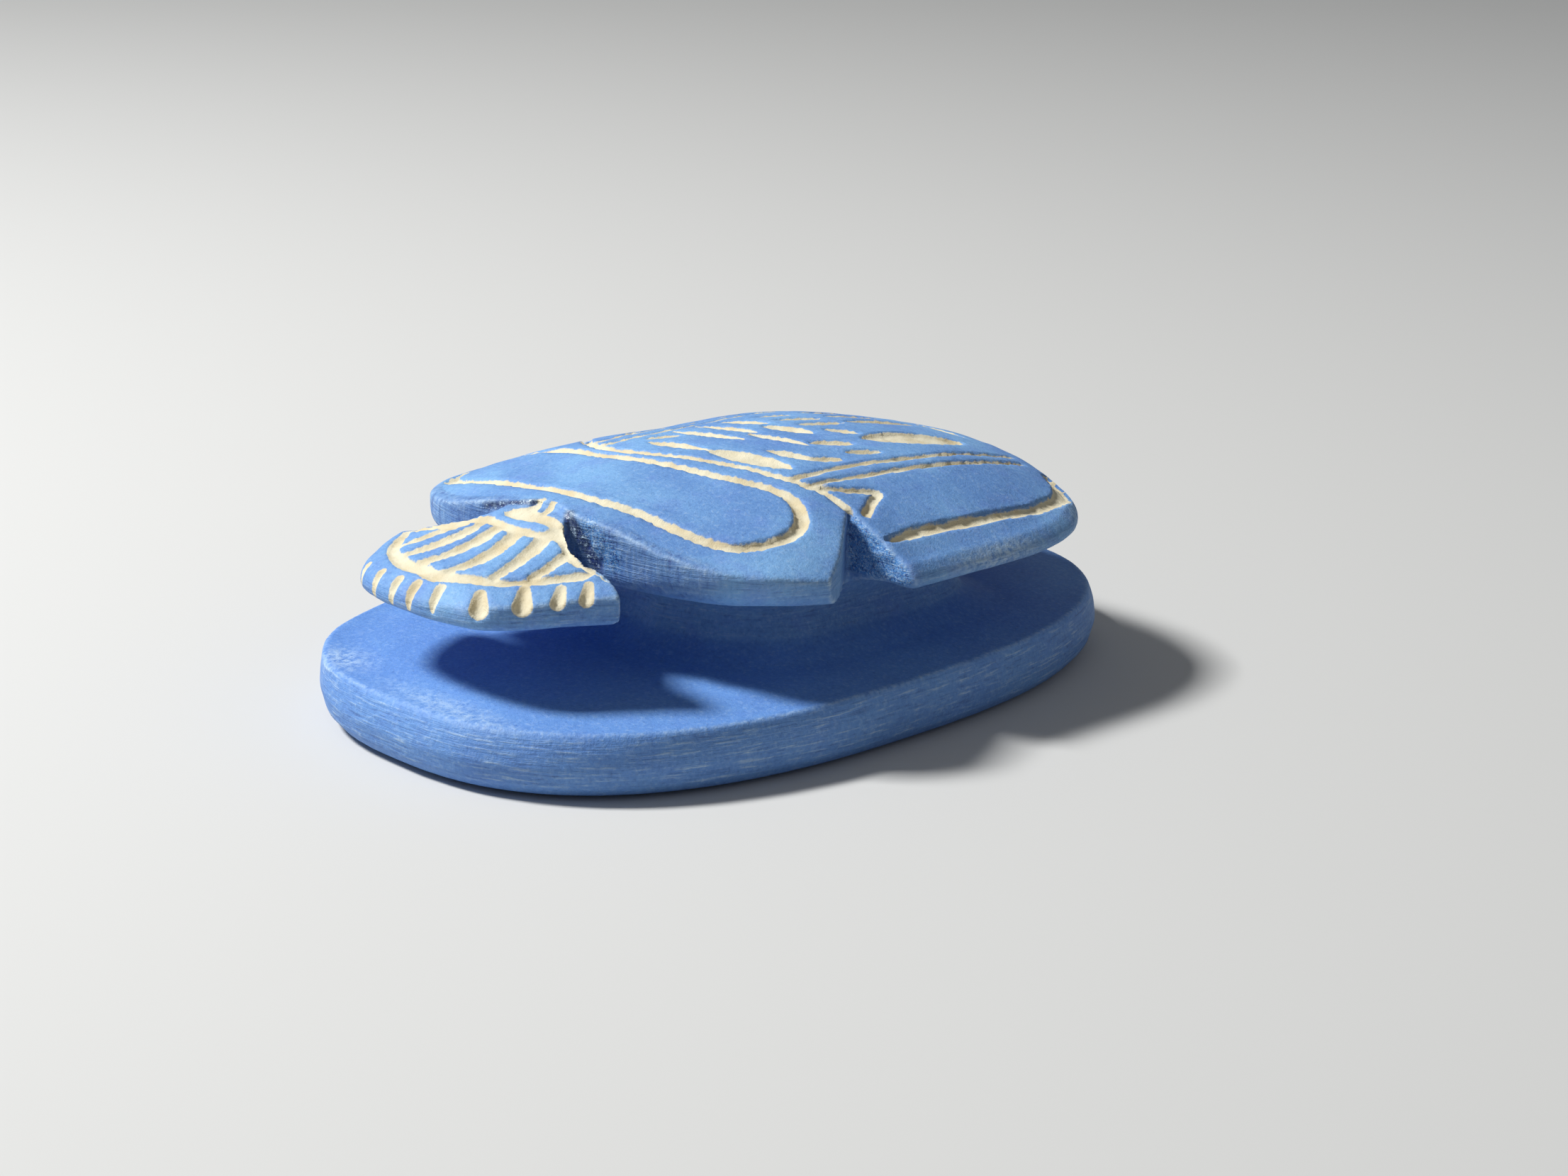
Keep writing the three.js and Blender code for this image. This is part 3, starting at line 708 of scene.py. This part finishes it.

# %% [markdown]
# ## Stained stone
# The stain soaked in unevenly: broad clouds of lighter and purer blue, a fine cream grain where the stone
# shows through, and paler wear on the edges, in part painted sheen on the rolled rims. The cracks get
# painted shade with painted glints, and the front wall of the thorax a painted shade. The cut lines are
# bare cream stone with a slightly rough bottom. File marks are long, thin streaks along the side walls. All
# of it comes from noise in the object's own coordinates.

# %% The stone's material


def rgb(r, g, b):
    """A colour given as 0 to 255, as on a paint card, in the linear numbers that Blender uses."""
    return (*((c / 255 / 12.92 if c <= 10 else ((c / 255 + 0.055) / 1.055) ** 2.4) for c in (r, g, b)), 1.0)


stain = bpy.data.materials.new("blue_stained_stone")
stain.use_nodes = True
tree = stain.node_tree
tree.nodes.clear()
start = Sum(tree, None)
place = start.node("ShaderNodeTexCoord", output=3)
spot = place.stretch((1000, 1000, 1000))
bare_mark = start.node("ShaderNodeAttribute", {"attribute_name": "bare"}, output=2)
wear_and_sheen_mark = start.node("ShaderNodeAttribute", {"attribute_name": "wear_and_sheen"}, output=2)
chiselled_mark = start.node("ShaderNodeAttribute", {"attribute_name": "chiselled"}, output=2)
crack_shade_and_glints = start.node("ShaderNodeAttribute", {"attribute_name": "crack_shade_glints"}, output=2)
wall_marks_and_shade = start.node("ShaderNodeAttribute", {"attribute_name": "front_wall"}, output=2)
height = start.node("ShaderNodeSeparateXYZ", None, {0: spot}, 2)
facing = start.node("ShaderNodeNewGeometry", output=1)
upright = start.node("ShaderNodeSeparateXYZ", None, {0: facing}, 2)
side = upright.math("ABSOLUTE", upright).step(0.75, 0.35)

clouds = spot.noise(0.09, 3.0)
drift = spot.noise(0.35, 2.0)
grain = spot.noise(3.2, 3.0, 0.7)
fine = spot.noise(7.0, 2.0)
speckle = spot.noise(1.7, 2.0, 0.7)
streaks = spot.stretch((0.28, 0.28, 4.2)).noise(1.0, 3.0, 0.65)
chops = spot.stretch((1.6, 1.6, 0.2)).noise(1.0, 2.0, 0.6)

blue = clouds.step(0.35, 0.68).mix(rgb(96, 140, 198), rgb(120, 168, 216))
blue = (drift.step(0.45, 0.75) * 0.35).mix(blue, rgb(98, 128, 202))
low_part = height.step(8.6, 7.2)
blue = (low_part * 0.7).mix(blue, rgb(92, 138, 208))
# Painted shade: the front wall of the thorax, at and under the rim, turns halfway to a darker, greyer blue.
blue = (wall_marks_and_shade * 0.5).mix(blue, rgb(86, 120, 172))
blue = (chiselled_mark * 0.7).mix(blue, rgb(64, 136, 204))
# Painted shade: the cracks turn almost fully to a deep navy.
blue = (crack_shade_and_glints * 0.9).mix(blue, rgb(34, 42, 84))
pale = (grain.step(0.52, 0.78) * 0.3 + speckle.step(0.5, 0.75) * 0.14
        # Wear term: real wear, and in part painted sheen on the rolled rims.
        + wear_and_sheen_mark * speckle.step(0.3, 0.6) * 0.75
        + side * streaks.step(0.52, 0.72) * (0.3 + low_part * 0.2) + wall_marks_and_shade * chops.step(0.5, 0.7) * 0.15
        # Painted glints: the crack term speckles the cracks near white.
        + chiselled_mark * fine.step(0.5, 0.6) * 0.55 + crack_shade_and_glints * grain.step(0.56, 0.62) * 0.85)
blue = pale.math("MINIMUM", pale, 1.0).mix(blue, rgb(186, 210, 228))
dark = (side * streaks.step(0.46, 0.26) * 0.4 + grain.step(0.48, 0.26) * 0.3
        + speckle.step(0.5, 0.28) * 0.12
        + wall_marks_and_shade * chops.step(0.48, 0.3) * 0.45 + chiselled_mark * grain.step(0.48, 0.38) * 0.5)
blue = dark.mix(blue, rgb(46, 66, 130))

cream = drift.step(0.35, 0.7).mix(rgb(216, 209, 184), rgb(204, 190, 156))
cream = (grain.step(0.6, 0.8) * 0.35).mix(cream, rgb(178, 162, 128))
edge = (bare_mark + (grain - 0.5) * 0.12 + (fine - 0.5) * 0.08).step(-0.05, 0.05)
colour = edge.mix(blue, cream)

shape = fine * 0.5 + grain * 0.8 + speckle * 0.8 + side * streaks * 2.4 + wall_marks_and_shade * chops * 2.0
relief = start.node("ShaderNodeBump", None, {"Strength": 0.5, "Distance": 0.00012, "Height": shape}, 0)
skin_shader = tree.nodes.new("ShaderNodeBsdfPrincipled")
skin_shader.inputs["Specular IOR Level"].default_value = 0.35
finish = tree.nodes.new("ShaderNodeOutputMaterial")
tree.links.new(colour.socket, skin_shader.inputs["Base Color"])
rough = 0.62 + edge * 0.2 + (grain - 0.5) * 0.15 - crack_shade_and_glints * 0.35
tree.links.new(rough.socket, skin_shader.inputs["Roughness"])
tree.links.new(relief.socket, skin_shader.inputs["Normal"])
tree.links.new(skin_shader.outputs[0], finish.inputs["Surface"])
scarab.data.materials.append(stain)
print("nodes in the material:", len(tree.nodes))

# %% [markdown]
# ## Put the stone in place
# The fine mesh stands for the solid node and rides on the one body that there is.

# %% Ride on the solid
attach(scarab, "root")
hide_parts("carved_scarab")
print("scarab rides on root")

# %% [markdown]
# ## Floor, light and camera
# A pale, plain floor gives a quiet ground. The main lamp shines from the left and above, as seen by the
# camera, a larger and weaker one fills the right, and the sky gives the rest. The camera stands at the
# beetle's front left, about 17 degrees above it, with a long lens, as the photograph was taken.

# %% Floor
floor_mesh = bpy.data.meshes.new("floor")
floor_mesh.from_pydata([(-2, -2, 0), (2, -2, 0), (2, 2, 0), (-2, 2, 0)], [], [(0, 1, 2, 3)])
floor = bpy.data.objects.new("floor", floor_mesh)
bpy.context.scene.collection.objects.link(floor)
paper = bpy.data.materials.new("pale_floor")
paper.use_nodes = True
paper.node_tree.nodes["Principled BSDF"].inputs["Base Color"].default_value = (0.6, 0.6, 0.585, 1)
paper.node_tree.nodes["Principled BSDF"].inputs["Roughness"].default_value = 0.9
floor_mesh.materials.append(paper)
print("floor ready")

# %% Light
world = bpy.data.worlds.new("soft_sky")
world.use_nodes = True
world.node_tree.nodes["Background"].inputs["Color"].default_value = (0.92, 0.95, 1.0, 1)
world.node_tree.nodes["Background"].inputs["Strength"].default_value = 0.17
bpy.context.scene.world = world


def direction(azimuth, elevation):
    """From the stone outwards; azimuth 0 is straight in front of the head."""
    a, e = math.radians(azimuth), math.radians(elevation)
    return Vector((math.sin(a) * math.cos(e), -math.cos(a) * math.cos(e), math.sin(e)))


def lamp(name, azimuth, elevation, distance, size, power):
    """A square, soft light that shines on the stone; distance and size in metres."""
    back = direction(azimuth, elevation)
    light = bpy.data.lights.new(name, "AREA")
    light.size, light.energy = size, power
    thing = bpy.data.objects.new(name, light)
    thing.location = back * distance + Vector((0, 0, 0.01))
    thing.rotation_euler = (-back).to_track_quat("-Z", "Y").to_euler()
    bpy.context.scene.collection.objects.link(thing)
    return thing


lamp("key", -46, 50, 0.7, 0.13, 7.0)
lamp("fill", 110, 35, 0.9, 0.6, 0.25)
bpy.context.scene.view_settings.view_transform = "Standard"
print("two lights")

# %% Camera
CAMERA = {"azimuth": 45.716, "elevation": 17.218, "distance": 320.203, "aim": (7.119, 0.64, 10.0),
          "roll": 1.222, "focal_share": 4900 / 2212}
back = direction(CAMERA["azimuth"], CAMERA["elevation"])
eye = bpy.data.cameras.new("camera")
eye.sensor_width = 36.0
eye.lens = 36.0 * CAMERA["focal_share"]
eye.clip_start, eye.clip_end = 0.01, 10
camera = bpy.data.objects.new("camera", eye)
camera.location = (Vector(CAMERA["aim"]) + back * CAMERA["distance"]) / 1000
look = (-back).to_track_quat("-Z", "Y")
camera.rotation_mode = "QUATERNION"
camera.rotation_quaternion = look @ Quaternion((0, 0, 1), math.radians(CAMERA["roll"]))
bpy.context.scene.collection.objects.link(camera)
bpy.context.scene.camera = camera
print("lens, mm:", round(eye.lens, 1))

# %% [markdown]
# ## Finish
# The view layer is brought up to date.

# %% Finish
bpy.context.view_layer.update()
